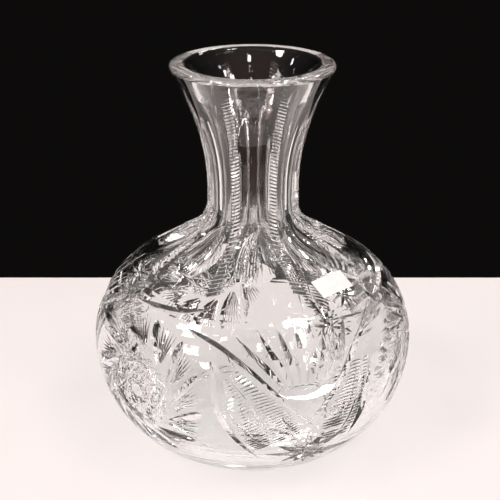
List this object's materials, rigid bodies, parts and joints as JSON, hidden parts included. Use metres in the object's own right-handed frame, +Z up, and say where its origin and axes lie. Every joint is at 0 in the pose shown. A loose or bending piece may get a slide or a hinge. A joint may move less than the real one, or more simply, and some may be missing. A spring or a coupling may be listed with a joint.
{
  "type": "cut glass carafe",
  "caption": "Round-bellied cut glass carafe with a flared, fluted neck, wheel-cut belly and a small paper label.",
  "frame": {"origin": "centre of the foot, on the surface that the carafe stands on", "axes": "+Z up the axis of the neck; -Y towards the front, the side with the label to its right"},
  "size_m": [0.152, 0.152, 0.182],
  "materials": {
    "crystal": "polished clear lead glass",
    "label": "matte white coated paper"
  },
  "bodies": {
    "root": {"glass_vase": "crystal", "paper_label": "label"}
  },
  "joints": []
}
